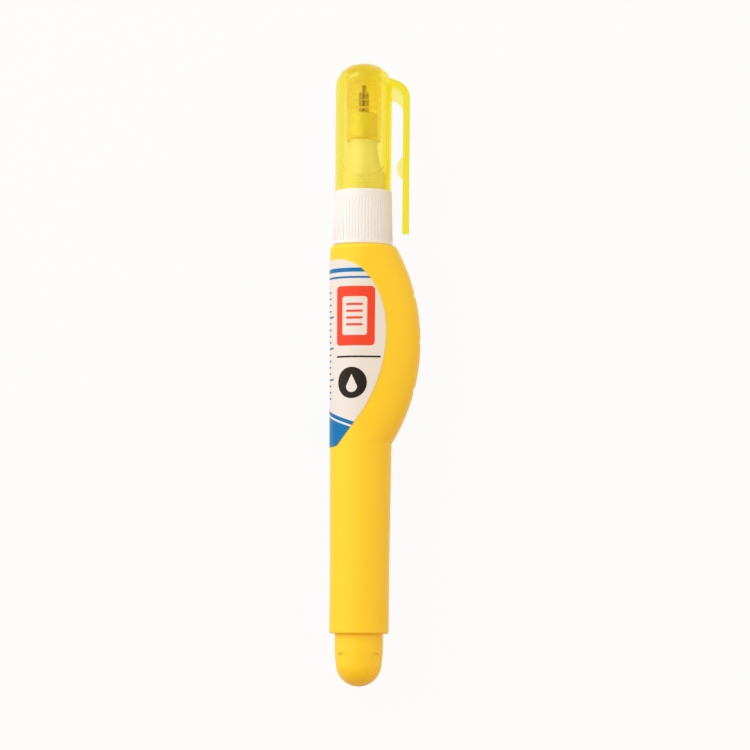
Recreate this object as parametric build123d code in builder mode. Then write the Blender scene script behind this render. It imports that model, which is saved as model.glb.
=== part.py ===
from build123d import *
import math
import os

# A squeeze-type correction pen lying flat with its cap on.
# Y runs along the pen towards the cap, X towards the bulge and the pocket clip, and Z is up.
# Sizes are in millimetres, and the origin is on the axis in the middle of the barrel's plain tail band.

# Clearances between pieces
press_gap = 0.02
slide_gap = 0.06
seat_gap = 0.05
glue_line = 0.01

# Barrel: a squeeze bottle that tapers towards its tail
barrel_length = 74.65
tail_radius = 5.7
shoulder_radius = 6.29
tail_band = 11.8
rim_round = 0.4
shoulder_round = 1.0
barrel_wall = 0.95
tail_wall = 1.04
mouth_wall = 0.97

# Thumb bulge: stations back from the mouth, reach from the axis
bulge_start = 38.25
bulge_middle = 18.75
bulge_reach = 11.34
bulge_fullness = 0.64
bulge_spans = 8
grip_count = 3
grip_pitch = 9.4
grip_depth = 0.2
grip_radius = 1.3

# Tail plug: a domed cup with flats for the fingers
plug_depth = 8.0
plug_overhang = 10.06
plug_straight = 3.3
plug_draft = 0.25
plug_wall = 1.0
flat_count = 4
flat_depth = 0.3
flat_width = 2.8
flat_start = 3.6

# Snap rings that hold the pressed pieces
ring_round = 0.35
ring_height = 0.12
plug_ring = 4.0
skirt_ring = 2.4
spigot_ring = 1.4
spigot_ring_height = 0.05

# Nozzle holder: skirt, ribbed collar, spigot, cone and nose
skirt_length = 5.0
skirt_spare = 0.3
skirt_wall = 1.1
skirt_lead = 0.4
collar_height = 10.55
collar_step = 0.49
collar_taper = 0.23
collar_edge = 0.15
rib_count = 56
rib_foot = 0.8
rib_length = 8.3
rib_root = 0.27
rib_round = 0.2
spigot_height = 3.0
cone_height = 6.8
nose_radius = 2.6
nose_height = 5.4
nose_edge = 0.4
nose_wall = 0.5
chamber_radius = 1.7
chamber_length = 8.0
funnel_length = 5.0

# Metal tip with its fine nub
shank_radius = 1.3
shank_length = 3.5
tip_radius = 0.92
tip_height = 4.1
tip_edge = 0.12
tip_bore = 0.45
nub_radius = 0.36
nub_height = 1.45
nub_bore = 0.22
nub_wall = 0.6
seat_mouth = 0.8
seat_depth = 0.8

# Valve: needle, carrier, spring and retainer
needle_radius = 0.16
needle_reach = 0.35
needle_tuck = 0.5
carrier_stop = 0.1
flange_radius = 1.35
flange_height = 0.8
stem_radius = 0.4
stem_height = 1.0
stem_point = 0.4
guide_radius = 0.5
guide_height = 1.4
flow_notches = 3
flow_notch = 0.45
wire = 0.22
spring_radius = 1.1
spring_room = 4.2
spring_turns = 4
retainer_height = 1.6
retainer_boss = 0.85
boss_height = 0.6
retainer_edge = 0.15
flow_bore = 0.4

# Cap: shell, inner sleeve and the shallow panels on its front and back
cap_length = 24.75
cap_step = 0.15
cap_draft = 0.08
cap_wall = 0.96
cap_dome = 4.65
cap_roof = 1.45
cap_inner_round = 3.2
spigot_gap = 0.09
sleeve_wall = 0.75
sleeve_draft = 0.19
sleeve_cover = 5.4
sleeve_lead = 0.6
sleeve_lead_height = 0.62
tip_room = 1.9
room_step = 0.15
room_step_heights = (0.6, 2.3, 3.6)
roof_height = 1.1
needle_room = 0.35
panel_half_width = 4.58
panel_depth = 0.22
panel_top = 1.4
panel_bottom = 2.3

# Pocket clip on the cap
clip_reach = 8.92
clip_thickness = 1.3
clip_width = 4.0
clip_root_drop = 2.8
clip_slope = 20.0
clip_bend = 3.6
clip_length = 33.0
clip_edge = 0.3
clip_nose = 1.2
web_thickness = 1.2
web_drop = 6.9
web_side = 9.15
web_arch = 0.55
bump_radius = 2.6
bump_height = 1.12
bump_drop = 20.2

# Label: a film wrapped round the side away from the bulge, measured back from the mouth
film = 0.09
label_bottom = 39.0
label_top = 3.1
label_shoulder = 5.0
label_width = 9.69
label_widest = 16.85
label_sweep_radius = 28.5
label_sweep = 36.6
label_corner = 1.2

# Mixing ball
ball_radius = 2.4
ball_gap = 0.15
ball_station = 30.0

# Stations along the pen
tail_rim = -(rim_round + tail_band / 2)
band_end = tail_rim + rim_round + tail_band
mouth = tail_rim + barrel_length
neck_end = mouth - skirt_length - skirt_spare
crease = mouth - bulge_start
crest = mouth - bulge_middle
collar_top = mouth + collar_height
spigot_top = collar_top + spigot_height
nose_base = spigot_top + cone_height
nose_top = nose_base + nose_height
tip_shoulder = nose_top - nose_wall
tip_rear = tip_shoulder - shank_length
tip_top = nose_top + tip_height
nub_top = tip_top + nub_height
needle_end = nub_top + needle_reach
flange_front = tip_rear - carrier_stop
flange_rear = flange_front - flange_height
retainer_front = flange_rear - spring_room
retainer_rear = retainer_front - retainer_height
chamber_start = tip_rear - chamber_length
cap_mouth = collar_top + seat_gap
cap_top = cap_mouth + cap_length
sleeve_end = nose_top - sleeve_cover
roof_apex = needle_end + needle_room

# Radii that follow from the pieces they fit
mouth_bore = shoulder_radius - mouth_wall
plug_bore = tail_radius - tail_wall
plug_radius = plug_bore - press_gap
skirt_radius = mouth_bore - press_gap
collar_foot_radius = shoulder_radius - collar_step
collar_top_radius = collar_foot_radius - collar_taper
cap_mouth_radius = collar_top_radius - cap_step
cap_radius = cap_mouth_radius + cap_draft
cap_bore = cap_mouth_radius - cap_wall
spigot_radius = cap_bore - spigot_gap
sleeve_bore = nose_radius + slide_gap
skirt_bore = skirt_radius - skirt_wall


def station(along):
    """Plane across the pen, facing the cap."""
    return Plane(origin=(0, along, 0), x_dir=(1, 0, 0), z_dir=(0, 1, 0))


def barrel_radius(along):
    """Outer radius of the round barrel."""
    taper = (shoulder_radius - tail_radius) / (mouth - band_end)
    return tail_radius + taper * max(0, along - band_end)


def bulge_crest(along):
    """Distance from the axis to the arc of the bulge's crest, which springs from the crease."""
    rise = bulge_reach - barrel_radius(crease)
    run = crest - crease
    arc_radius = (rise**2 + run**2) / (2 * rise)
    return bulge_reach - arc_radius + math.sqrt(arc_radius**2 - (along - crest) ** 2)


def bulge_section(along, skin):
    """Outline across the barrel: a half circle, and on the bulge's side a blunt tongue."""
    radius = barrel_radius(along) + skin
    reach = max(bulge_crest(along) + skin, radius)
    swell = (reach - radius) / (bulge_reach - barrel_radius(crest))
    quarter = 4 / 3 * (math.sqrt(2) - 1)
    handle = quarter + (bulge_fullness - quarter) * swell
    with BuildSketch(station(along)) as section:
        with BuildLine():
            CenterArc((0, 0), radius, 90, 90)
            CenterArc((0, 0), radius, 180, 90)
            if swell > 0.001:
                Bezier((0, -radius), (handle * reach, -radius), (reach, -handle * radius), (reach, 0))
                Bezier((reach, 0), (reach, handle * radius), (handle * reach, radius), (0, radius))
            else:
                CenterArc((0, 0), radius, 270, 90)
                CenterArc((0, 0), radius, 0, 90)
        make_face()
    return section.sketch


def barrel_form(skin, back, front, mode=Mode.ADD):
    """Barrel grown outwards by skin: a turned tail as far as the crease, then the lofted bulge."""
    if back < crease:
        bends = sorted({back, max(back, band_end), crease})
        edge = [(barrel_radius(along) + skin, along) for along in bends]
        turned((0, back), *edge, (0, crease), mode=mode)
    start = max(back, crease)
    step = (front - start) / bulge_spans
    sections = [bulge_section(start + step * span, skin) for span in range(bulge_spans + 1)]
    loft(sections, mode=mode)


def turned(*points, mode=Mode.ADD):
    """Solid of revolution about the pen's axis, from corners given as radius and station."""
    with BuildSketch(Plane.XY) as profile:
        with BuildLine():
            Polyline(*points, close=True)
        make_face()
    revolve(profile.sketch, axis=Axis.Y, mode=mode)


def snap_ring(radius, along, height, grow=0, mode=Mode.ADD):
    """Rounded ring that stands proud of a cylinder, or the groove that takes it."""
    with BuildSketch(Plane.XY) as profile:
        with Locations((radius + height - ring_round, along)):
            Circle(ring_round + grow)
    revolve(profile.sketch, axis=Axis.Y, mode=mode)


# Barrel
with BuildPart() as barrel:
    barrel_form(0, tail_rim, mouth)
    fillet(barrel.edges().group_by(Axis.Y)[-1], shoulder_round)
    fillet(barrel.edges().group_by(Axis.Y)[0], rim_round)
    for row in range(grip_count):
        grip = crest + grip_pitch * (row - (grip_count - 1) / 2)
        with Locations((bulge_crest(grip) - grip_depth + grip_radius, grip, 0)):
            Cylinder(grip_radius, 2 * shoulder_radius, mode=Mode.SUBTRACT)
    barrel_form(-barrel_wall, tail_rim + plug_depth, neck_end, mode=Mode.SUBTRACT)
    turned((0, tail_rim), (plug_bore, tail_rim), (plug_bore, tail_rim + plug_depth),
           (0, tail_rim + plug_depth), mode=Mode.SUBTRACT)
    turned((0, neck_end), (mouth_bore, neck_end), (mouth_bore, mouth), (0, mouth), mode=Mode.SUBTRACT)
    snap_ring(plug_radius, tail_rim + plug_ring, ring_height, press_gap, Mode.SUBTRACT)
    snap_ring(skirt_radius, mouth - skirt_ring, ring_height, press_gap, Mode.SUBTRACT)

# Tail plug
with BuildPart() as tail_plug:
    dome_radius = plug_radius - plug_draft
    dome_centre = tail_rim - plug_overhang + dome_radius
    straight_end = tail_rim - plug_straight
    plug_front = tail_rim + plug_depth - seat_gap
    cup_radius = plug_radius - plug_wall
    cup_dome = dome_radius - plug_wall
    rise = straight_end - dome_centre
    dip = math.acos(dome_radius / math.hypot(plug_radius, rise)) - math.atan2(rise, plug_radius)
    tangent_point = (dome_radius * math.cos(dip), dome_centre - dome_radius * math.sin(dip))
    with BuildSketch(Plane.XY):
        with BuildLine():
            Polyline((cup_dome, dome_centre), (cup_radius, plug_front), (plug_radius, plug_front),
                     (plug_radius, straight_end), tangent_point)
            CenterArc((0, dome_centre), dome_radius, 270, 90 - math.degrees(dip))
            Line((0, dome_centre - dome_radius), (0, dome_centre - cup_dome))
            CenterArc((0, dome_centre), cup_dome, 270, 90)
        make_face()
    revolve(axis=Axis.Y)
    snap_ring(plug_radius, tail_rim + plug_ring, ring_height)
    flat_distance = plug_radius - flat_depth
    flat_length = plug_overhang - flat_start + flat_width
    flat_middle = tail_rim - flat_start - flat_length / 2
    for turn in range(flat_count):
        angle = 2 * math.pi * (turn + 0.5) / flat_count
        outward = Vector(math.cos(angle), 0, math.sin(angle))
        foot = (outward.X * flat_distance, flat_middle, outward.Z * flat_distance)
        with BuildSketch(Plane(origin=foot, x_dir=(0, 1, 0), z_dir=outward)):
            SlotOverall(flat_length, flat_width)
        extrude(amount=flat_width, mode=Mode.SUBTRACT)

# Nozzle holder
with BuildPart() as nozzle_holder:
    skirt_end = mouth - skirt_length
    with BuildSketch(Plane.XY):
        with BuildLine():
            Polyline((nose_radius, nose_base), (nose_radius, nose_top - nose_edge),
                     (nose_radius - nose_edge, nose_top), (tip_radius + press_gap, nose_top),
                     (tip_radius + press_gap, tip_shoulder), (shank_radius + press_gap, tip_shoulder),
                     (shank_radius + press_gap, tip_rear), (chamber_radius, tip_rear),
                     (chamber_radius, chamber_start), (skirt_bore, chamber_start - funnel_length),
                     (skirt_bore, skirt_end), (skirt_radius - skirt_lead, skirt_end),
                     (skirt_radius, skirt_end + skirt_lead), (skirt_radius, mouth),
                     (collar_foot_radius - collar_edge, mouth), (collar_foot_radius, mouth + collar_edge),
                     (collar_top_radius, collar_top - collar_edge),
                     (collar_top_radius - collar_edge, collar_top), (spigot_radius, collar_top),
                     (spigot_radius, spigot_top))
            TangentArc((nose_radius, nose_base), (spigot_radius, spigot_top), tangent=(0, -1))
        make_face()
    revolve(axis=Axis.Y)
    snap_ring(skirt_radius, mouth - skirt_ring, ring_height)
    snap_ring(spigot_radius, collar_top + spigot_ring, spigot_ring_height)
    with BuildSketch(station(mouth + rib_foot)):
        with PolarLocations(collar_foot_radius - rib_root + rib_round, rib_count):
            Circle(rib_round)
    extrude(amount=rib_length, mode=Mode.SUBTRACT)

# Metal tip
with BuildPart() as metal_tip:
    turned((seat_mouth, tip_rear), (shank_radius, tip_rear), (shank_radius, tip_shoulder - press_gap),
           (tip_radius, tip_shoulder - press_gap), (tip_radius, tip_top - tip_edge),
           (tip_radius - tip_edge, tip_top), (nub_radius, tip_top), (nub_radius, nub_top),
           (nub_bore, nub_top), (nub_bore, tip_top - nub_wall), (tip_bore, tip_top - nub_wall - tip_bore),
           (tip_bore, tip_rear + seat_depth))

# Valve needle
with BuildPart() as valve_needle:
    needle_rear = flange_front - needle_tuck
    turned((0, needle_rear), (needle_radius, needle_rear), (needle_radius, needle_end), (0, needle_end))
    fillet(valve_needle.edges().group_by(Axis.Y)[-1], needle_radius / 2)

# Needle carrier
with BuildPart() as needle_carrier:
    needle_hole = needle_radius + press_gap
    stem_end = flange_front + stem_height
    turned((0, flange_rear - guide_height), (guide_radius, flange_rear - guide_height),
           (guide_radius, flange_rear), (flange_radius, flange_rear), (flange_radius, flange_front),
           (stem_radius, flange_front), (stem_radius, stem_end - stem_point),
           (needle_hole + press_gap, stem_end), (needle_hole, stem_end),
           (needle_hole, needle_rear - press_gap), (0, needle_rear - press_gap))
    with BuildSketch(station(flange_rear)):
        with PolarLocations(flange_radius, flow_notches):
            Circle(flow_notch)
    extrude(amount=flange_height, mode=Mode.SUBTRACT)


def coil_point(turns):
    """Point on the spring's centre line, and its heading there."""
    angle = 2 * math.pi * turns
    coil_start = retainer_front + wire / 2 + press_gap
    coil_end = flange_rear - wire / 2 - press_gap
    pitch = (coil_end - coil_start) / spring_turns
    across = spring_radius * math.cos(angle)
    up = spring_radius * math.sin(angle)
    point = Vector(across, coil_start + pitch * turns, up)
    heading = Vector(-math.sin(angle), pitch / (2 * math.pi * spring_radius), math.cos(angle))
    return point, heading.normalized()


# Valve spring: each half turn is two tangent arcs
with BuildPart() as valve_spring:
    with BuildLine():
        for half in range(2 * spring_turns):
            start, leaving = coil_point(half / 2)
            end, arriving = coil_point((half + 1) / 2)
            across = end - start
            along = across.dot(leaving + arriving)
            opening = 2 * (1 - leaving.dot(arriving))
            handle = (math.sqrt(along**2 + opening * across.dot(across)) - along) / opening
            meeting = (start + end + (leaving - arriving) * handle) / 2
            TangentArc(start, meeting, tangent=leaving)
            TangentArc(meeting, end, tangent=across - (leaving + arriving) * handle)
    first_point, first_heading = coil_point(0)
    with BuildSketch(Plane(origin=first_point, z_dir=first_heading)):
        Circle(wire / 2)
    sweep()

# Spring retainer
with BuildPart() as spring_retainer:
    retainer_radius = chamber_radius - press_gap
    turned((flow_bore, retainer_rear), (retainer_radius - retainer_edge, retainer_rear),
           (retainer_radius, retainer_rear + retainer_edge), (retainer_radius, retainer_front),
           (retainer_boss, retainer_front), (retainer_boss, retainer_front + boss_height),
           (flow_bore, retainer_front + boss_height))


def cap_form(inset):
    """Outside of the cap without its clip, drawn in by inset."""
    with BuildSketch(Plane.XY) as profile:
        with BuildLine():
            shell = cap_radius - inset
            Line((0, cap_mouth), (cap_mouth_radius - inset, cap_mouth))
            Line((cap_mouth_radius - inset, cap_mouth), (shell, cap_top - cap_dome))
            CenterArc((cap_radius - cap_dome, cap_top - cap_dome), cap_dome - inset, 0, 90)
            Polyline((cap_radius - cap_dome, cap_top - inset), (0, cap_top - inset), (0, cap_mouth))
        make_face()
    revolve(profile.sketch, axis=Axis.Y)


# Shallow panels on the cap's front and back
with BuildPart() as cap_panels:
    panel_high = cap_top - panel_top
    panel_low = cap_mouth + panel_bottom
    with BuildSketch(Plane.XY):
        with Locations((0, (panel_high + panel_low) / 2)):
            SlotOverall(panel_high - panel_low, 2 * panel_half_width, rotation=90)
    extrude(amount=cap_radius, both=True)
with BuildPart() as cap_core:
    cap_form(panel_depth)

# Pocket clip, rooted in the cap's wall
with BuildPart() as clip:
    clip_root = cap_radius - cap_wall / 2
    clip_high = cap_top - clip_root_drop
    clip_end = cap_top - clip_length
    clip_inner = clip_reach - clip_thickness
    fall = math.tan(math.radians(clip_slope))
    drop = clip_thickness / math.cos(math.radians(clip_slope))
    outer_corner = clip_high - (clip_reach - clip_root) * fall
    inner_corner = clip_high - (clip_inner - clip_root) * fall - drop
    with BuildSketch(Plane.XY) as spine:
        with BuildLine():
            Polyline((clip_root, clip_high), (clip_reach, outer_corner), (clip_reach, clip_end),
                     (clip_inner, clip_end), (clip_inner, inner_corner), (clip_root, clip_high - drop),
                     close=True)
        make_face()
        fillet(spine.vertices().sort_by_distance((clip_reach, outer_corner))[0], clip_bend)
        fillet(spine.vertices().sort_by_distance((clip_inner, inner_corner))[0], clip_bend - clip_thickness)
    extrude(amount=clip_width / 2, both=True)
    chamfer(clip.edges().filter_by(Axis.X).group_by(Axis.Y)[0], clip_nose)
    sides = clip.faces().filter_by(Axis.Z)
    fillet(sides.edges(), clip_edge)
    with BuildSketch(Plane.XY):
        with BuildLine():
            Polyline((clip_root, cap_top - web_drop), (clip_root, clip_high - drop / 2),
                     (clip_inner, inner_corner + drop / 2), (clip_inner + clip_thickness / 2, inner_corner),
                     (clip_inner + clip_thickness / 2, cap_top - web_side), (clip_inner, cap_top - web_side))
            SagittaArc((clip_root, cap_top - web_drop), (clip_inner, cap_top - web_side), web_arch)
        make_face()
        with Locations((clip_inner - bump_height + bump_radius, cap_top - bump_drop)):
            Circle(bump_radius)
        with Locations((clip_inner + clip_thickness / 2, cap_top - bump_drop)):
            Rectangle(3 * bump_radius, 3 * bump_radius, align=(Align.MIN, Align.CENTER), mode=Mode.SUBTRACT)
    extrude(amount=web_thickness / 2, both=True)

# Cap with its sleeve and clip
with BuildPart() as cap:
    cap_form(0)
    add(cap_panels.part - cap_core.part, mode=Mode.SUBTRACT)
    cavity_top = cap_top - cap_roof
    with BuildSketch(Plane.XY) as cavity:
        with BuildLine():
            Polyline((0, cap_mouth), (cap_bore, cap_mouth), (cap_bore, cavity_top), (0, cavity_top),
                     close=True)
        make_face()
        fillet(cavity.vertices().group_by(Axis.Y)[-1].sort_by(Axis.X)[-1], cap_inner_round)
    revolve(axis=Axis.Y, mode=Mode.SUBTRACT)
    sleeve_radius = sleeve_bore + sleeve_wall
    turned((0, sleeve_end), (sleeve_radius, sleeve_end), (sleeve_radius + sleeve_draft, cavity_top),
           (0, cavity_top))
    bore_steps = [(sleeve_bore + sleeve_lead, sleeve_end), (sleeve_bore, sleeve_end + sleeve_lead_height)]
    step_radius = sleeve_bore
    for number, height in enumerate(room_step_heights):
        next_radius = tip_room + room_step * (len(room_step_heights) - 1 - number)
        bore_steps.append((step_radius, nose_top + height))
        bore_steps.append((next_radius, nose_top + height + step_radius - next_radius))
        step_radius = next_radius
    turned((0, sleeve_end), *bore_steps, (tip_room, roof_apex - roof_height), (0, roof_apex),
           mode=Mode.SUBTRACT)
    add(clip)

# Label
with BuildPart() as label:
    label_high = mouth - label_top
    label_low = mouth - label_bottom
    label_back = label_low - label_corner
    label_front = label_high + label_corner
    barrel_form(glue_line + film, label_back, label_front)
    barrel_form(glue_line, label_back, label_front, mode=Mode.SUBTRACT)
    widest = mouth - label_widest
    side = label_width - label_shoulder
    beyond = -3 * shoulder_radius
    slant = math.radians(label_sweep)
    sweep_end = (side - label_sweep_radius * (1 - math.cos(slant)),
                 widest - label_sweep_radius * math.sin(slant))
    slant_end = (beyond, sweep_end[1] - (sweep_end[0] - beyond) / math.tan(slant))
    with BuildSketch(Plane.XY) as outline:
        with BuildLine():
            EllipticalCenterArc((-label_shoulder, widest), label_width, label_high - widest, 0, arc_size=90)
            Polyline((-label_shoulder, label_high), (beyond, label_high), slant_end, sweep_end)
            CenterArc((side - label_sweep_radius, widest), label_sweep_radius, -label_sweep, label_sweep)
        make_face()
        with Locations((0, label_low)):
            Rectangle(2 * barrel_length, barrel_length, align=(Align.CENTER, Align.MIN), mode=Mode.INTERSECT)
        fillet(outline.vertices().group_by(Axis.Y)[0].sort_by(Axis.X)[-1], label_corner)
    extrude(amount=2 * shoulder_radius, both=True, mode=Mode.INTERSECT)

# Mixing ball, lying on the barrel's lower wall
with BuildPart() as mixing_ball:
    ball_along = tail_rim + ball_station
    with Locations((0, ball_along, -(barrel_radius(ball_along) - barrel_wall - ball_radius - ball_gap))):
        Sphere(ball_radius)

os.makedirs("parts", exist_ok=True)
pieces = {
    "barrel": barrel,
    "tail_plug": tail_plug,
    "nozzle_holder": nozzle_holder,
    "metal_tip": metal_tip,
    "valve_needle": valve_needle,
    "needle_carrier": needle_carrier,
    "valve_spring": valve_spring,
    "spring_retainer": spring_retainer,
    "cap": cap,
    "label": label,
    "mixing_ball": mixing_ball,
}
for name, piece in pieces.items():
    piece.part.label = name
    export_step(piece.part, f"parts/{name}.step")
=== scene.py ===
import math

import bpy
from bpy.props import FloatProperty, FloatVectorProperty, IntProperty, PointerProperty
from bpy.types import Operator, Panel, PropertyGroup
from mathutils import Matrix, Vector


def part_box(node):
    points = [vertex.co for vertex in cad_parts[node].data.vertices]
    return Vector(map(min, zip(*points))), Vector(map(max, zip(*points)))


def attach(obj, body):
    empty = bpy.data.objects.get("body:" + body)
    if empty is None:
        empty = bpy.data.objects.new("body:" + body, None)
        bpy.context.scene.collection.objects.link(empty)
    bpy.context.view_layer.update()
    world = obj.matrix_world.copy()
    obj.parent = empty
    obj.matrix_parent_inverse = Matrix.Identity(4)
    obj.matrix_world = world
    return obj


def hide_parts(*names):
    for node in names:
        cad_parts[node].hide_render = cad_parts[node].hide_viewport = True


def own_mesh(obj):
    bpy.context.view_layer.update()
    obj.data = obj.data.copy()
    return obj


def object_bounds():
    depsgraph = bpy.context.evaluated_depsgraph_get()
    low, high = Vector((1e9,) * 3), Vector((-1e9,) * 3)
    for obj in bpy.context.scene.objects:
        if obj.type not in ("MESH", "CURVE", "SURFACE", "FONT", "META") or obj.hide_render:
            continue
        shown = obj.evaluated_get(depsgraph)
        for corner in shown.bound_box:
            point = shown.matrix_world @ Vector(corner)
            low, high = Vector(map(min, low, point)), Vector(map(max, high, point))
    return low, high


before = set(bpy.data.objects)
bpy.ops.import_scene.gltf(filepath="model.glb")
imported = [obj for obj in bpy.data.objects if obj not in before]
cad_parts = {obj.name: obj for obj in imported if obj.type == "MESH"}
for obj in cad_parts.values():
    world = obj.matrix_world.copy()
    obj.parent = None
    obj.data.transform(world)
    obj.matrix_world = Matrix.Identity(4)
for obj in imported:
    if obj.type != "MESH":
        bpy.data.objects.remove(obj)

bl_info = {
    "name": "Correction Pen Dresser",
    "version": (1, 0, 0),
    "blender": (4, 5, 0),
    "location": "View3D > Sidebar > Correction Pen",
    "description": "Gives a squeeze correction pen its plastics, metals, label print and studio",
    "category": "Object",
}

# The frame is in metres; the label's print is laid out in millimetres
MM = 0.001
CAD_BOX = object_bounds()

WHITE = (1.0, 1.0, 1.0, 1.0)
BLACK = (0.0, 0.0, 0.0, 1.0)

# Cap's inner sleeve: a radius round the pen's axis that holds it and none of the shell, and its open end
SLEEVE_REACH = 3.75 * MM
SLEEVE_FOOT = 89.4 * MM

# Ribbed collar: its ends along the pen, its radius at the foot, and how much narrower its top is
COLLAR_FOOT = 68.35 * MM
COLLAR_TOP = 78.9 * MM
COLLAR_RADIUS = 5.8 * MM
COLLAR_TAPER = 0.23 * MM

# Depth at which the painted light in a groove of the collar is brightest
GROOVE_DEPTH = 0.2 * MM

# Moulded plastic: clouds per metre, and how clouds and grain change the roughness
CLOUD_SCALE = 140.0
CLOUD_ROUGHNESS = (0.88, 1.12)
GRAIN_ROUGHNESS = (-0.03, 0.03)

# Turned metal: waver of its rings, stains per metre and their shade, and painted reflections as dark bands
# round the axis
RING_WAVER = 1.5
RING_ROUGHNESS = (0.8, 1.25)
RING_DEPTH = 0.004 * MM
STAIN_SCALE = 900.0
STAIN_SHADE = 0.3
REFLECTION_BAND_SCALE = 2.6
REFLECTION_BAND_EDGES = (0.42, 0.58)

# Detail of noise with fine parts and of plain noise
FINE_DETAIL = 3.0
PLAIN_DETAIL = 2.0

# Specular level of plain plastic
PLAIN_SPECULAR = 0.5

# Refraction of the cap's clear plastic
CAP_IOR = 1.36

# Angle up to which the spring's wire is shaded smooth
SMOOTH_ANGLE = math.radians(50.0)

# Softness of a printed edge, in millimetres like the rest of the print
EDGE = 0.05

# Printed blocks: left and right from the barrel's front line, low and high along the pen, corner radius
HEAD_RULES = ((-30.0, 30.0, 62.7, 63.5, 0.0), (-30.0, 30.0, 61.5, 61.9, 0.0))
CARD = (-5.3, 2.4, 48.6, 60.0, 0.7)
PAGE = (-3.9, 1.0, 50.6, 58.0, 0.5)
PAGE_LINES = tuple((-3.1, 0.2, low, low + 0.45, 0.2) for low in (56.3, 55.0, 53.7, 52.4))
MIDDLE_RULE = (-5.3, 3.4, 46.3, 46.65, 0.0)
DISC = (-4.9, 1.1, 38.5, 44.5, 3.0)

# Drop on the disc: middle of its ball across and along, the ball's radius, and the rise to its point
DROP_MIDDLE = -1.9
DROP_LOW = 40.8
DROP_RADIUS = 1.15
DROP_RISE = 2.4

# Scale of strokes on the side, and rows on the back between two rules
STROKE_SHARE = 0.3
SCALE_PITCH = 1.2
SCALE_GROUP = 5
SCALE_SHORT = (-8.7, -7.4, 38.0, 60.0, 0.0)
SCALE_LONG = (-8.7, -6.4, 38.0, 60.0, 0.0)
ROW_PITCH = 1.3
ROW_END = -15.5
ROW_SPREAD = 2.5
BACK_ROWS = (-21.5, -12.5, 41.6, 58.5, 0.0)
BACK_RULES = ((-21.5, -12.5, 59.6, 59.9, 0.0), (-21.5, -12.5, 40.2, 40.5, 0.0))

# Slanting foot of the label, and the white line in it
FOOT_SLOPE = 0.32
FOOT_TOP = 33.6
FOOT_LINE_DROP = 1.0
FOOT_LINE_HALF = 0.2

# Soft boxes: the key at the left, beyond the cap, and the fill at the right
KEY_PLACE = Vector((-0.55, 0.37, 0.5))
KEY_SIZE = 1.2
FILL_PLACE = Vector((0.65, 0.06, 0.42))
FILL_SIZE = 0.9

# Wide glow of the key box in reflections: its direction, and the cosines between which it fades in
SHEEN_PLACE = Vector((-0.9, 0.3, 0.3))
SHEEN_FADE = (0.0, 1.0)

# Narrow glow of a low box beyond the cap, which only shows in reflections
STRIP_PLACE = Vector((-0.5, 0.85, 0.15))
STRIP_FADE = (0.93, 0.995)

# Heights between which reflections go from white wall to ceiling
CEILING_FADE = (0.2, 0.85)

# Directions along the pen between which the surround goes from the tail's tint to the cap's
TINT_FADE = (-1.0, 0.3)

# A ray's count of bounces is above this once it has had one
ANY_BOUNCE = 0.5

# Share of the white that is left for a ray that has met a matt surface
BOUNCED_SHARE = 0.75


def colour_property(name, description, default):
    """A colour that the user can change."""
    return FloatVectorProperty(name=name, description=description, default=default, size=3,
                               subtype="COLOR", min=0.0, max=1.0)


def length_property(name, description, millimetres):
    """A size that the user can change, given in millimetres."""
    return FloatProperty(name=name, description=description, default=millimetres * MM, unit="LENGTH",
                         precision=5)


def share_property(name, description, default):
    """A number from 0 to 1 that the user can change."""
    return FloatProperty(name=name, description=description, default=default, min=0.0, max=1.0,
                         subtype="FACTOR")


def angle_property(name, description, degrees):
    """An angle that the user can change, given in degrees."""
    return FloatProperty(name=name, description=description, default=math.radians(degrees),
                         subtype="ANGLE", unit="ROTATION")


def power_property(name, description, watts):
    """A lamp's power that the user can change."""
    return FloatProperty(name=name, description=description, default=watts, min=0.0, unit="POWER")


def strength_property(name, description, default):
    """A number from 0 up that the user can change."""
    return FloatProperty(name=name, description=description, default=default, min=0.0)


def count_property(name, description, default, least):
    """A whole number that the user can change."""
    return IntProperty(name=name, description=description, default=default, min=least)


class PlasticSettings(PropertyGroup):
    """Colours and finishes of the moulded pieces"""
    barrel: colour_property("Barrel", "Yellow of the squeeze barrel and its tail plug", (0.97, 0.635, 0.022))
    barrel_roughness: share_property("Barrel Roughness", "Satin of the squeeze barrel", 0.42)
    holder: colour_property("Holder", "White of the ribbed nozzle holder", (0.83, 0.82, 0.825))
    # Painted light: a whiter white that lifts the shade in the collar's grooves
    groove_painted_light: colour_property("Grooves", "White of the collar's grooves, where light soaks through the ribs",
                            (0.92, 0.91, 0.915))
    holder_roughness: share_property("Holder Roughness", "Satin of the nozzle holder", 0.4)
    valve: colour_property("Valve", "Natural plastic of the needle carrier and its retainer",
                           (0.78, 0.76, 0.7))
    valve_roughness: share_property("Valve Roughness", "Satin of the needle carrier and its retainer", 0.4)
    cap_surface: colour_property("Cap Surface", "Tint of the cap's skin", (1.0, 0.95, 0.72))
    cap_core: colour_property("Cap Core", "Tint of light that bounces about inside the cap's wall",
                              (1.0, 0.96, 0.72))
    cap_glow: colour_property("Cap Glow", "Light that the cap lets fall on what it covers",
                              (0.42, 0.42, 0.34))
    nose_glow: colour_property("Nose Glow", "Light that the cap's closed end lets fall on the nose and tip",
                               (0.78, 0.8, 0.3))
    cap_dye: colour_property("Cap Dye", "Colour that a thick wall of the cap lets through",
                             (0.982, 0.955, 0.15))
    cap_strength: strength_property("Cap Dye Strength", "Dye in the cap's plastic, per metre", 1000.0)
    cap_roughness: share_property("Cap Roughness", "Polish of the cap", 0.16)


class MetalSettings(PropertyGroup):
    """Colours and finishes of the metal pieces"""
    tip: colour_property("Tip", "Plated metal of the tip", (0.6, 0.54, 0.24))
    steel: colour_property("Steel", "Steel of the needle, spring and ball", (0.62, 0.62, 0.63))
    roughness: share_property("Roughness", "Polish of the turned metal", 0.25)


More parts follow.
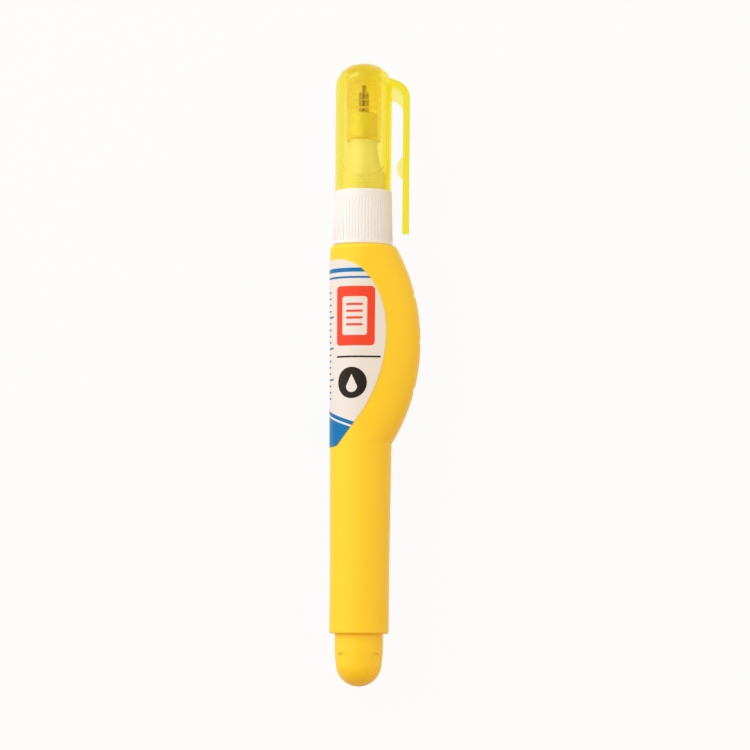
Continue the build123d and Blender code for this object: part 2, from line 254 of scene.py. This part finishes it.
class SpringSettings(PropertyGroup):
    """Wire of the valve spring"""
    wire: length_property("Wire", "Thickness of the spring's wire", 0.22)
    turns: count_property("Turns", "Turns of the spring", 4, 1)
    steps: count_property("Steps", "Steps round each turn", 32, 8)
    sides: count_property("Sides", "Sides of the wire", 12, 6)


class LabelSettings(PropertyGroup):
    """Inks of the label"""
    film: colour_property("Film", "White ground of the label", (0.78, 0.745, 0.715))
    blue: colour_property("Blue", "Blue ink", (0.002, 0.17, 0.46))
    red: colour_property("Red", "Red ink", (0.84, 0.065, 0.028))
    black: colour_property("Black", "Black ink", (0.02, 0.015, 0.011))
    roughness: share_property("Roughness", "Gloss of the film", 0.3)
    radius: length_property("Wrap Radius", "Radius at which the print is measured round the barrel", 6.15)


class StageSettings(PropertyGroup):
    """Camera, floor and lights"""
    camera_distance: length_property("Camera Distance", "Height of the camera over the pen's axis", 656.0)
    camera_along: length_property("Camera Along", "Place of the camera along the pen", -6.3)
    aim_across: length_property("Aim Across", "Middle of the picture across the pen", 2.625)
    aim_along: length_property("Aim Along", "Middle of the picture along the pen", 43.4)
    camera_roll: angle_property("Camera Roll", "Lean of the pen in the picture", 0.527)
    camera_angle: angle_property("Camera Angle", "Field of view across the square picture", 12.5226)
    floor_size: length_property("Floor Size", "Side of the floor", 4000.0)
    floor_white: share_property("Floor White", "How far the floor hides shadows from the camera", 0.94)
    floor_bounce: colour_property("Floor Bounce", "Light that the floor gives back", (0.68, 0.62, 0.54))
    surround: share_property("Surround", "Soft light from all round", 0.62)
    surround_tail: colour_property("Surround at Tail", "Tint of the soft light from the tail's end",
                                   (0.84, 0.32, 0.08))
    surround_cap: colour_property("Surround at Cap", "Tint of the soft light from the cap's end",
                                  (0.97, 1.0, 0.95))
    ceiling: share_property("Ceiling", "Brightness of the studio's ceiling in reflections", 0.6)
    key_sheen: strength_property("Key Sheen", "Brightness of the key box in reflections", 0.7)
    strip_sheen: strength_property("Strip Sheen", "Brightness of a low box beyond the cap in reflections",
                                   2.4)
    key_power: power_property("Key Power", "Lamp at the left, beyond the cap", 7.2)
    fill_power: power_property("Fill Power", "Lamp at the right", 2.0)
    fill_tint: colour_property("Fill Tint", "Warmth of the lamp at the right", (1.0, 0.8, 0.42))


class Wiring:
    """Adds nodes to one node tree and links them, so that a finish reads as a list of steps."""

    def __init__(self, tree):
        self.tree = tree

    def add(self, kind, **settings):
        """A new node with its settings."""
        node = self.tree.nodes.new(kind)
        for name, value in settings.items():
            setattr(node, name, value)
        return node

    def feed(self, socket, value):
        """Links an output to the socket, or sets the socket's own value."""
        if isinstance(value, bpy.types.NodeSocket):
            self.tree.links.new(value, socket)
        else:
            socket.default_value = value

    def math(self, operation, *values, clamp=False):
        """Result of a Math node."""
        node = self.add("ShaderNodeMath", operation=operation, use_clamp=clamp)
        for socket, value in zip(node.inputs, values):
            self.feed(socket, value)
        return node.outputs[0]

    def spread(self, value, low, high):
        """A value from 0 to 1 spread over a range."""
        node = self.add("ShaderNodeMapRange")
        self.feed(node.inputs["Value"], value)
        self.feed(node.inputs["To Min"], low)
        self.feed(node.inputs["To Max"], high)
        return node.outputs["Result"]

    def ramp(self, value, start, end):
        """A smooth rise from 0 to 1 between two values."""
        node = self.add("ShaderNodeMapRange", interpolation_type="SMOOTHSTEP")
        self.feed(node.inputs["Value"], value)
        self.feed(node.inputs["From Min"], start)
        self.feed(node.inputs["From Max"], end)
        return node.outputs["Result"]

    def mix(self, factor, below, above):
        """One colour laid over another."""
        node = self.add("ShaderNodeMix", data_type="RGBA")
        self.feed(node.inputs[0], factor)
        self.feed(node.inputs[6], below)
        self.feed(node.inputs[7], above)
        return node.outputs[2]

    def blend(self, factor, below, above):
        """One shader laid over another."""
        node = self.add("ShaderNodeMixShader")
        self.feed(node.inputs[0], factor)
        self.feed(node.inputs[1], below)
        self.feed(node.inputs[2], above)
        return node.outputs["Shader"]

    def noise(self, place, scale, detail):
        """Grey noise at a scale per metre."""
        node = self.add("ShaderNodeTexNoise")
        self.feed(node.inputs["Vector"], place)
        self.feed(node.inputs["Scale"], scale)
        self.feed(node.inputs["Detail"], detail)
        return node.outputs["Fac"]

    def group(self, group, **values):
        """A node group with its inputs fed, by their names with spaces as underscores."""
        node = self.add("ShaderNodeGroup", node_tree=group)
        for name, value in values.items():
            self.feed(node.inputs[name.replace("_", " ")], value)
        return node

    def bump(self, height, strength, distance):
        """A normal from a height."""
        node = self.add("ShaderNodeBump")
        self.feed(node.inputs["Strength"], strength)
        self.feed(node.inputs["Distance"], distance)
        self.feed(node.inputs["Height"], height)
        return node.outputs["Normal"]

    def place(self):
        """Object coordinates, which are the frame's own."""
        return self.add("ShaderNodeTexCoord").outputs["Object"]

    def axes(self, vector):
        """The three parts of a vector, by their names."""
        node = self.add("ShaderNodeSeparateXYZ")
        self.feed(node.inputs["Vector"], vector)
        return node.outputs


def opaque(colour):
    """A property's colour with full alpha."""
    return (*colour, 1.0)


def new_group(name, inputs, outputs):
    """An empty shader node group with its sockets, and the nodes that lead in and out."""
    group = bpy.data.node_groups.new(name, "ShaderNodeTree")
    for socket, kind in inputs.items():
        group.interface.new_socket(name=socket, in_out="INPUT", socket_type=kind)
    for socket, kind in outputs.items():
        group.interface.new_socket(name=socket, in_out="OUTPUT", socket_type=kind)
    wiring = Wiring(group)
    return wiring, wiring.add("NodeGroupInput").outputs, wiring.add("NodeGroupOutput").inputs


def moulded_skin():
    """Group for moulded plastic: cloudy colour, uneven satin and a fine grain."""
    if "Moulded Skin" in bpy.data.node_groups:
        return bpy.data.node_groups["Moulded Skin"]
    wiring, source, result = new_group(
        "Moulded Skin",
        {"Place": "NodeSocketVector", "Colour": "NodeSocketColor", "Cloud": "NodeSocketFloat",
         "Roughness": "NodeSocketFloat", "Grain Scale": "NodeSocketFloat"},
        {"Colour": "NodeSocketColor", "Roughness": "NodeSocketFloat", "Height": "NodeSocketFloat"})
    cloud = wiring.noise(source["Place"], CLOUD_SCALE, FINE_DETAIL)
    grain = wiring.noise(source["Place"], source["Grain Scale"], PLAIN_DETAIL)
    dark = wiring.mix(source["Cloud"], source["Colour"], BLACK)
    wiring.feed(result["Colour"], wiring.mix(cloud, dark, source["Colour"]))
    uneven = wiring.math("MULTIPLY", source["Roughness"], wiring.spread(cloud, *CLOUD_ROUGHNESS))
    wiring.feed(result["Roughness"], wiring.math("ADD", uneven, wiring.spread(grain, *GRAIN_ROUGHNESS)))
    wiring.feed(result["Height"], grain)
    return wiring.tree


def turned_metal():
    """Group for turned metal: fine rings round the pen's axis, faint stains, and painted reflections as dark
    lengthwise bands.
    """
    if "Turned Metal" in bpy.data.node_groups:
        return bpy.data.node_groups["Turned Metal"]
    # Its Streak input sets how dark the painted reflection bands are
    wiring, source, result = new_group(
        "Turned Metal",
        {"Place": "NodeSocketVector", "Colour": "NodeSocketColor", "Roughness": "NodeSocketFloat",
         "Ring Scale": "NodeSocketFloat", "Streak": "NodeSocketFloat"},
        {"Colour": "NodeSocketColor", "Roughness": "NodeSocketFloat", "Height": "NodeSocketFloat"})
    rings = wiring.add("ShaderNodeTexWave", wave_type="BANDS", bands_direction="Y")
    wiring.feed(rings.inputs["Vector"], source["Place"])
    wiring.feed(rings.inputs["Scale"], source["Ring Scale"])
    wiring.feed(rings.inputs["Distortion"], RING_WAVER)
    stain = wiring.noise(source["Place"], STAIN_SCALE, FINE_DETAIL)
    dull = wiring.mix(STAIN_SHADE, source["Colour"], BLACK)
    stained = wiring.mix(stain, dull, source["Colour"])
    axes = wiring.axes(source["Place"])
    # Dark bands round the axis: painted reflections of the surroundings
    painted_reflection_bands = wiring.add("ShaderNodeTexNoise", noise_dimensions="1D")
    wiring.feed(painted_reflection_bands.inputs["W"], wiring.math("ARCTAN2", axes["Z"], axes["X"]))
    wiring.feed(painted_reflection_bands.inputs["Scale"], REFLECTION_BAND_SCALE)
    wiring.feed(painted_reflection_bands.inputs["Detail"], FINE_DETAIL)
    shade = wiring.math("MULTIPLY", wiring.ramp(painted_reflection_bands.outputs["Fac"], *REFLECTION_BAND_EDGES), source["Streak"])
    wiring.feed(result["Colour"], wiring.mix(shade, stained, BLACK))
    uneven = wiring.spread(rings.outputs["Fac"], *RING_ROUGHNESS)
    wiring.feed(result["Roughness"], wiring.math("MULTIPLY", source["Roughness"], uneven))
    wiring.feed(result["Height"], rings.outputs["Fac"])
    return wiring.tree


def inked(wiring, distance):
    """Mask of a printed shape, from the distance to its outline, which is negative inside."""
    return wiring.math("SUBTRACT", 0.5, wiring.math("DIVIDE", distance, EDGE), clamp=True)


def print_block():
    """Group for one printed block with rounded corners, in millimetres."""
    if "Print Block" in bpy.data.node_groups:
        return bpy.data.node_groups["Print Block"]
    sizes = ("Across", "Along", "Left", "Right", "Low", "High", "Corner")
    wiring, source, result = new_group("Print Block", {size: "NodeSocketFloat" for size in sizes},
                                       {"Mask": "NodeSocketFloat"})
    corner = source["Corner"]

    def overshoot(place, low, high):
        """How far a place is past the block's straight side."""
        middle = wiring.math("MULTIPLY", wiring.math("ADD", low, high), 0.5)
        half = wiring.math("MULTIPLY", wiring.math("SUBTRACT", high, low), 0.5)
        away = wiring.math("ABSOLUTE", wiring.math("SUBTRACT", place, middle))
        return wiring.math("SUBTRACT", away, wiring.math("SUBTRACT", half, corner))

    side = overshoot(source["Across"], source["Left"], source["Right"])
    end = overshoot(source["Along"], source["Low"], source["High"])
    side_out = wiring.math("MAXIMUM", side, 0.0)
    end_out = wiring.math("MAXIMUM", end, 0.0)
    outside = wiring.math("SQRT", wiring.math("MULTIPLY_ADD", side_out, side_out,
                                              wiring.math("MULTIPLY", end_out, end_out)))
    within = wiring.math("MINIMUM", wiring.math("MAXIMUM", side, end), 0.0)
    distance = wiring.math("SUBTRACT", wiring.math("ADD", outside, within), corner)
    wiring.feed(result["Mask"], inked(wiring, distance))
    return wiring.tree


def wrapped_place(wiring, radius):
    """Millimetres round the barrel from its front line, to the right, and along the pen."""
    axes = wiring.axes(wiring.place())
    left = wiring.math("MULTIPLY", axes["X"], -1.0)
    turn = wiring.math("ARCTAN2", axes["Z"], left)
    across = wiring.math("MULTIPLY", wiring.math("SUBTRACT", turn, math.pi / 2), radius)
    return across, wiring.math("DIVIDE", axes["Y"], MM)


def pen_place(wiring):
    """Place along the pen, and distance from its axis."""
    axes = wiring.axes(wiring.place())
    across = wiring.math("MULTIPLY", axes["X"], axes["X"])
    return axes["Y"], wiring.math("SQRT", wiring.math("MULTIPLY_ADD", axes["Z"], axes["Z"], across))


def new_material(name):
    """A material with its wiring and its Principled shader."""
    material = bpy.data.materials.new(name)
    material.use_nodes = True
    return material, Wiring(material.node_tree), material.node_tree.nodes["Principled BSDF"]


def wire_skin(wiring, shader, skin, strength, depth):
    """Feeds a skin's colour, roughness and height to a shader."""
    wiring.feed(shader.inputs["Base Color"], skin["Colour"])
    wiring.feed(shader.inputs["Roughness"], skin["Roughness"])
    wiring.feed(shader.inputs["Normal"], wiring.bump(skin["Height"], strength, depth))


def plastic(name, colour, roughness, cloud, grain_scale, grain_depth, specular=PLAIN_SPECULAR, tint=None):
    """Opaque moulded plastic, whose colour a function can tint over the surface."""
    material, wiring, shader = new_material(name)
    colour = opaque(colour)
    if tint:
        colour = tint(wiring, colour)
    skin = wiring.group(moulded_skin(), Place=wiring.place(), Colour=colour, Cloud=cloud,
                        Roughness=roughness, Grain_Scale=grain_scale).outputs
    wire_skin(wiring, shader, skin, strength=0.3, depth=grain_depth)
    shader.inputs["Specular IOR Level"].default_value = specular
    return material


def metal(name, colour, roughness, ring_scale, painted_reflection):
    """Turned or drawn metal."""
    material, wiring, shader = new_material(name)
    skin = wiring.group(turned_metal(), Place=wiring.place(), Colour=opaque(colour), Roughness=roughness,
                        Ring_Scale=ring_scale, Streak=painted_reflection).outputs
    wire_skin(wiring, shader, skin, strength=0.2, depth=RING_DEPTH)
    shader.inputs["Metallic"].default_value = 1.0
    return material


def dress(material, *nodes):
    """Gives a material to CAD nodes."""
    for node in nodes:
        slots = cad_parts[node].data.materials
        slots.clear()
        slots.append(material)


class PEN_OT_dress_barrel(Operator):
    """Satin yellow plastic on the squeeze barrel and its tail plug"""
    bl_idname = "pen.dress_barrel"
    bl_label = "Dress Barrel"

    def execute(self, context):
        look = context.scene.pen_plastics
        yellow = plastic("satin_yellow", look.barrel, look.barrel_roughness, cloud=0.03, grain_scale=2600.0,
                         grain_depth=0.01 * MM, specular=0.3)
        dress(yellow, "barrel", "tail_plug")
        return {"FINISHED"}


class PEN_OT_dress_label(Operator):
    """Printed film on the label"""
    bl_idname = "pen.dress_label"
    bl_label = "Dress Label"

    def execute(self, context):
        inks = context.scene.pen_label
        printed_film = plastic("label_film", inks.film, inks.roughness, cloud=0.02, grain_scale=1800.0,
                               grain_depth=0.004 * MM, specular=0.12,
                               tint=lambda wiring, film: self.printed(wiring, inks, film))
        dress(printed_film, "label")
        return {"FINISHED"}

    def printed(self, wiring, inks, film):
        """Colour of the film with its inks, laid on one after another."""
        place = wrapped_place(wiring, inks.radius / MM)
        blue, red, black = (opaque(ink) for ink in (inks.blue, inks.red, inks.black))
        layers = [(self.block(wiring, place, rule), blue) for rule in HEAD_RULES]
        layers.append((self.block(wiring, place, CARD), red))
        layers.append((self.block(wiring, place, PAGE), film))
        layers.extend((self.block(wiring, place, line), red) for line in PAGE_LINES)
        layers.append((self.block(wiring, place, MIDDLE_RULE), black))
        layers.append((self.block(wiring, place, DISC), black))
        layers.append((self.drop(wiring, place), film))
        layers.append((self.scale(wiring, place), blue))
        layers.append((self.rows(wiring, place), blue))
        foot, line = self.foot(wiring, place)
        layers.extend(((foot, blue), (line, film)))
        colour = film
        for mask, ink in layers:
            colour = wiring.mix(mask, colour, ink)
        return colour

    def block(self, wiring, place, sides):
        """Mask of one block."""
        across, along = place
        left, right, low, high, corner = sides
        return wiring.group(print_block(), Across=across, Along=along, Left=left, Right=right, Low=low,
                            High=high, Corner=corner).outputs["Mask"]

    def drop(self, wiring, place):
        """Mask of a drop: a ball that narrows to a point in the direction of the cap."""
        across, along = place
        side = wiring.math("SUBTRACT", across, DROP_MIDDLE)
        height = wiring.math("SUBTRACT", along, DROP_LOW)
        lift = wiring.math("DIVIDE", height, DROP_RISE, clamp=True)
        room = wiring.math("MULTIPLY", wiring.math("SUBTRACT", 1.0, lift), DROP_RADIUS)
        below = wiring.math("MINIMUM", height, 0.0)
        reach = wiring.math("SQRT", wiring.math("ADD", wiring.math("MULTIPLY", side, side),
                                                wiring.math("MULTIPLY", below, below)))
        inside = wiring.math("SUBTRACT", room, reach)
        return wiring.math("DIVIDE", inside, EDGE, clamp=True)

    def scale(self, wiring, place):
        """Mask of fine strokes across the side, the first of each group long."""
        along = place[1]
        step = wiring.math("FRACT", wiring.math("MULTIPLY", along, 1.0 / SCALE_PITCH))
        stroke = wiring.math("LESS_THAN", step, STROKE_SHARE)
        turn = wiring.math("FRACT", wiring.math("MULTIPLY", along, 1.0 / (SCALE_PITCH * SCALE_GROUP)))
        first = wiring.math("MULTIPLY", stroke, wiring.math("LESS_THAN", turn, 1.0 / SCALE_GROUP))
        short = wiring.math("MULTIPLY", stroke, self.block(wiring, place, SCALE_SHORT))
        long = wiring.math("MULTIPLY", first, self.block(wiring, place, SCALE_LONG))
        return wiring.math("MAXIMUM", short, long)

    def rows(self, wiring, place):
        """Mask of rows of different lengths, between two rules."""
        across, along = place
        count = wiring.math("MULTIPLY", along, 1.0 / ROW_PITCH)
        row = wiring.math("LESS_THAN", wiring.math("FRACT", count), STROKE_SHARE)
        length = wiring.add("ShaderNodeTexWhiteNoise", noise_dimensions="1D")
        wiring.feed(length.inputs["W"], wiring.math("FLOOR", count))
        end = wiring.math("MULTIPLY_ADD", length.outputs["Value"], ROW_SPREAD, ROW_END)
        ragged = wiring.math("MULTIPLY", row, wiring.math("LESS_THAN", across, end))
        strokes = wiring.math("MULTIPLY", ragged, self.block(wiring, place, BACK_ROWS))
        rules = wiring.math("MAXIMUM", *(self.block(wiring, place, rule) for rule in BACK_RULES))
        return wiring.math("MAXIMUM", strokes, rules)

    def foot(self, wiring, place):
        """Masks of the slanting foot and of the line in it."""
        across, along = place
        height = wiring.math("MULTIPLY_ADD", across, FOOT_SLOPE, wiring.math("SUBTRACT", along, FOOT_TOP))
        away = wiring.math("ABSOLUTE", wiring.math("ADD", height, FOOT_LINE_DROP))
        line = inked(wiring, wiring.math("SUBTRACT", away, FOOT_LINE_HALF))
        return wiring.math("MULTIPLY", height, -1.0 / EDGE, clamp=True), line


class PEN_OT_dress_holder(Operator):
    """White moulded plastic on the nozzle holder, with painted light in the collar's grooves"""
    bl_idname = "pen.dress_holder"
    bl_label = "Dress Nozzle Holder"

    def execute(self, context):
        look = context.scene.pen_plastics
        # The grooves get a whiter white, which is painted light that lifts their shade
        groove_painted_light = opaque(look.groove_painted_light)
        white = plastic("holder_white", look.holder, look.holder_roughness, cloud=0.02, grain_scale=2200.0,
                        grain_depth=0.008 * MM,
                        tint=lambda wiring, colour: wiring.mix(self.grooves(wiring), colour, groove_painted_light))
        dress(white, "nozzle_holder")
        return {"FINISHED"}

    def grooves(self, wiring):
        """Mask of the grooves between the collar's ribs, where light is painted in against their shade."""
        along, reach = pen_place(wiring)
        slope = COLLAR_TAPER / (COLLAR_TOP - COLLAR_FOOT)
        outer = wiring.math("MULTIPLY_ADD", along, -slope, COLLAR_RADIUS + slope * COLLAR_FOOT)
        depth = wiring.ramp(wiring.math("SUBTRACT", outer, reach), 0.0, GROOVE_DEPTH)
        return wiring.math("MULTIPLY", depth, wiring.math("LESS_THAN", along, COLLAR_TOP))


class PEN_OT_dress_valve(Operator):
    """Metals and plastics on the tip, the valve and the mixing ball"""
    bl_idname = "pen.dress_valve"
    bl_label = "Dress Valve"

    def execute(self, context):
        metals = context.scene.pen_metals
        plastics = context.scene.pen_plastics
        # The tip and the steel carry painted reflections as dark lengthwise bands, strongest on the tip
        dress(metal("plated_tip", metals.tip, metals.roughness, ring_scale=1600.0, painted_reflection=0.7), "metal_tip")
        dress(metal("bright_steel", metals.steel, metals.roughness, ring_scale=2400.0, painted_reflection=0.25),
              "valve_needle", "valve_spring", "mixing_ball")
        natural = plastic("natural_plastic", plastics.valve, plastics.valve_roughness, cloud=0.03,
                          grain_scale=2600.0, grain_depth=0.006 * MM)
        dress(natural, "needle_carrier", "spring_retainer")
        return {"FINISHED"}


class PEN_OT_coil_spring(Operator):
    """Wire spring of the valve, wound in place of the CAD spring"""
    bl_idname = "pen.coil_spring"
    bl_label = "Coil Valve Spring"

    def execute(self, context):
        coil = context.scene.pen_spring
        low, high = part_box("valve_spring")
        spring = self.wind(coil, low, high)
        spring.data.materials.append(bpy.data.materials["bright_steel"])
        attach(spring, "pen_body")
        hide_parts("valve_spring")
        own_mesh(spring)
        return {"FINISHED"}

    def wind(self, coil, low, high):
        """Winds the wire's round section about the pen's axis and closes its ends."""
        wire_radius = coil.wire / 2
        bpy.ops.object.select_all(action="DESELECT")
        bpy.ops.mesh.primitive_circle_add(vertices=coil.sides, radius=wire_radius,
                                          location=(high.x - wire_radius, low.y + wire_radius, 0.0))
        spring = bpy.context.object
        spring.name = "valve_coil"
        bpy.ops.object.transform_apply(location=True, rotation=True, scale=True)
        winding = spring.modifiers.new("winding", "SCREW")
        winding.axis = "Y"
        winding.angle = -2 * math.pi
        winding.iterations = coil.turns
        winding.screw_offset = (high.y - low.y - coil.wire) / coil.turns
        winding.steps = coil.steps
        winding.render_steps = coil.steps
        bpy.ops.object.modifier_apply(modifier=winding.name)
        bpy.ops.object.mode_set(mode="EDIT")
        bpy.ops.mesh.select_all(action="SELECT")
        bpy.ops.mesh.fill_holes(sides=0)
        bpy.ops.mesh.normals_make_consistent(inside=False)
        bpy.ops.object.mode_set(mode="OBJECT")
        bpy.ops.object.shade_smooth_by_angle(angle=SMOOTH_ANGLE)
        return spring


class PEN_OT_dress_cap(Operator):
    """See-through dyed plastic on the cap"""
    bl_idname = "pen.dress_cap"
    bl_label = "Dress Cap"

    def execute(self, context):
        look = context.scene.pen_plastics
        material, wiring, shader = new_material("cap_clear_yellow")
        shader.inputs["Transmission Weight"].default_value = 1.0
        shader.inputs["IOR"].default_value = CAP_IOR
        skin = wiring.group(moulded_skin(), Place=wiring.place(), Colour=opaque(look.cap_surface), Cloud=0.02,
                            Roughness=look.cap_roughness, Grain_Scale=700.0).outputs
        wire_skin(wiring, shader, skin, strength=0.1, depth=0.01 * MM)
        dye = wiring.add("ShaderNodeVolumeAbsorption")
        dye.inputs["Color"].default_value = opaque(look.cap_dye)
        dye.inputs["Density"].default_value = look.cap_strength
        output = material.node_tree.nodes["Material Output"]
        wiring.feed(output.inputs["Volume"], dye.outputs["Volume"])
        path = wiring.add("ShaderNodeLightPath").outputs
        trapped = wiring.math("GREATER_THAN", path["Glossy Depth"], ANY_BOUNCE)
        freed = self.let_through(wiring, trapped, shader.outputs["BSDF"], opaque(look.cap_core))
        in_sleeve, past_foot = self.zones(wiring)
        glow = wiring.mix(past_foot, opaque(look.cap_glow), opaque(look.nose_glow))
        shell = wiring.mix(in_sleeve, glow, WHITE)
        lit = self.let_through(wiring, path["Is Shadow Ray"], freed, shell)
        wiring.feed(output.inputs["Surface"], lit)
        dress(material, "cap")
        return {"FINISHED"}

    def zones(self, wiring):
        """Masks of the inner sleeve and of the cap's closed end, from the sleeve's foot on."""
        along, reach = pen_place(wiring)
        past_foot = wiring.math("GREATER_THAN", along, SLEEVE_FOOT)
        return wiring.math("LESS_THAN", reach, SLEEVE_REACH), past_foot

    def let_through(self, wiring, rays, surface, tint):
        """Lets some rays pass straight through a surface with a tint."""
        clear = wiring.add("ShaderNodeBsdfTransparent")
        wiring.feed(clear.inputs["Color"], tint)
        return wiring.blend(rays, surface, clear.outputs["BSDF"])


def seen_directly(wiring):
    """1 for rays from the camera, a mirror or glass, less after a matt surface, and 0 for light."""
    path = wiring.add("ShaderNodeLightPath").outputs
    seen = wiring.math("MAXIMUM", path["Is Camera Ray"], path["Is Glossy Ray"])
    seen = wiring.math("MAXIMUM", seen, path["Is Transmission Ray"])
    fresh = wiring.math("LESS_THAN", path["Diffuse Depth"], ANY_BOUNCE)
    return wiring.math("MULTIPLY", seen, wiring.spread(fresh, BOUNCED_SHARE, 1.0))


def add_lamp(name, place, aim, size, power):
    """A square soft box that faces the pen."""
    bpy.ops.object.select_all(action="DESELECT")
    turn = (aim - place).to_track_quat("-Z", "Y").to_euler()
    bpy.ops.object.light_add(type="AREA", location=place, rotation=turn)
    lamp = bpy.context.object
    lamp.name = name
    lamp.data.size = size
    lamp.data.energy = power
    lamp.visible_camera = False
    return lamp


class PEN_OT_set_stage(Operator):
    """White floor, soft surround, two soft boxes and the camera"""
    bl_idname = "pen.set_stage"
    bl_label = "Set Stage"

    def execute(self, context):
        stage = context.scene.pen_stage
        self.add_floor(stage)
        self.light_surround(context.scene, stage)
        aim = Vector((0.0, stage.aim_along, 0.0))
        key = add_lamp("key_box", KEY_PLACE, aim, KEY_SIZE, stage.key_power)
        # Its glow in reflections comes from the surround
        key.visible_glossy = False
        fill = add_lamp("fill_box", FILL_PLACE, aim, FILL_SIZE, stage.fill_power)
        fill.data.color = stage.fill_tint
        self.add_camera(context.scene, stage)
        context.scene.view_settings.view_transform = "Standard"
        return {"FINISHED"}

    def add_floor(self, stage):
        """The floor that the pen lies on, which the camera sees as white with a faint shadow."""
        bpy.ops.object.select_all(action="DESELECT")
        bpy.ops.mesh.primitive_plane_add(size=stage.floor_size, location=(0.0, 0.0, CAD_BOX[0].z))
        floor = bpy.context.object
        floor.name = "floor"
        material, wiring, shader = new_material("floor_white")
        shader.inputs["Base Color"].default_value = opaque(stage.floor_bounce)
        shader.inputs["Roughness"].default_value = 0.9
        shader.inputs["Specular IOR Level"].default_value = 0.0
        paper = wiring.add("ShaderNodeEmission")
        paper.inputs["Strength"].default_value = 1.0
        white = wiring.math("MULTIPLY", seen_directly(wiring), stage.floor_white)
        surface = wiring.blend(white, shader.outputs["BSDF"], paper.outputs["Emission"])
        wiring.feed(material.node_tree.nodes["Material Output"].inputs["Surface"], surface)
        floor.data.materials.append(material)

    def light_surround(self, scene, stage):
        """Soft light from all round, tinted along the pen, which the camera sees as white."""
        world = bpy.data.worlds.new("surround")
        world.use_nodes = True
        scene.world = world
        wiring = Wiring(world.node_tree)
        backdrop = world.node_tree.nodes["Background"]
        seen = seen_directly(wiring)
        direction = wiring.add("ShaderNodeTexCoord").outputs["Generated"]
        axes = wiring.axes(direction)
        towards_cap = wiring.ramp(axes["Y"], *TINT_FADE)
        light = wiring.mix(towards_cap, opaque(stage.surround_tail), opaque(stage.surround_cap))
        wiring.feed(backdrop.inputs["Color"], wiring.mix(seen, light, WHITE))
        path = wiring.add("ShaderNodeLightPath").outputs
        mirrored = wiring.math("SUBTRACT", path["Is Glossy Ray"], path["Is Transmission Ray"], clamp=True)
        studio = self.reflected_studio(wiring, stage, direction, axes["Z"])
        white = wiring.spread(mirrored, 1.0, studio)
        wiring.feed(backdrop.inputs["Strength"], wiring.spread(seen, stage.surround, white))

    def reflected_studio(self, wiring, stage, direction, height):
        """Brightness of the studio in reflections: white walls, a darker ceiling and two glows."""
        def glow(place, fade, strength, below):
            """A glow in one direction, on top of what is there."""
            towards = wiring.add("ShaderNodeVectorMath", operation="DOT_PRODUCT")
            wiring.feed(towards.inputs[0], direction)
            wiring.feed(towards.inputs[1], place.normalized())
            return wiring.math("MULTIPLY_ADD", wiring.ramp(towards.outputs["Value"], *fade), strength, below)

        room = wiring.spread(wiring.ramp(height, *CEILING_FADE), 1.0, stage.ceiling)
        key = glow(SHEEN_PLACE, SHEEN_FADE, stage.key_sheen, room)
        return glow(STRIP_PLACE, STRIP_FADE, stage.strip_sheen, key)

    def add_camera(self, scene, stage):
        """The camera over the pen's tail, tipped towards the middle of the pen."""
        bpy.ops.object.select_all(action="DESELECT")
        place = Vector((stage.aim_across, stage.camera_along, stage.camera_distance))
        forward = (Vector((stage.aim_across, stage.aim_along, 0.0)) - place).normalized()
        lean = Vector((-math.sin(stage.camera_roll), math.cos(stage.camera_roll), 0.0))
        right = forward.cross(lean).normalized()
        up = right.cross(forward)
        turn = Matrix((right, up, -forward)).transposed().to_euler()
        bpy.ops.object.camera_add(location=place, rotation=turn)
        camera = bpy.context.object
        camera.name = "camera"
        camera.data.angle = stage.camera_angle
        scene.camera = camera


class PEN_PT_dresser(Panel):
    """Sidebar panel with the steps in order"""
    bl_idname = "PEN_PT_dresser"
    bl_label = "Correction Pen"
    bl_space_type = "VIEW_3D"
    bl_region_type = "UI"
    bl_category = "Correction Pen"

    def draw(self, context):
        for step in STEPS:
            self.layout.operator(step.bl_idname)


STEPS = (PEN_OT_dress_barrel, PEN_OT_dress_label, PEN_OT_dress_holder, PEN_OT_dress_valve,
         PEN_OT_coil_spring, PEN_OT_dress_cap, PEN_OT_set_stage)
SETTINGS = {"pen_plastics": PlasticSettings, "pen_metals": MetalSettings, "pen_spring": SpringSettings,
            "pen_label": LabelSettings, "pen_stage": StageSettings}


def register():
    for name, settings in SETTINGS.items():
        bpy.utils.register_class(settings)
        setattr(bpy.types.Scene, name, PointerProperty(type=settings))
    for step in STEPS:
        bpy.utils.register_class(step)
    bpy.utils.register_class(PEN_PT_dresser)


def unregister():
    bpy.utils.unregister_class(PEN_PT_dresser)
    for step in reversed(STEPS):
        bpy.utils.unregister_class(step)
    for name, settings in SETTINGS.items():
        delattr(bpy.types.Scene, name)
        bpy.utils.unregister_class(settings)


def main():
    register()
    bpy.ops.pen.dress_barrel()
    bpy.ops.pen.dress_label()
    bpy.ops.pen.dress_holder()
    bpy.ops.pen.dress_valve()
    bpy.ops.pen.coil_spring()
    bpy.ops.pen.dress_cap()
    bpy.ops.pen.set_stage()


if __name__ == "__main__":
    main()
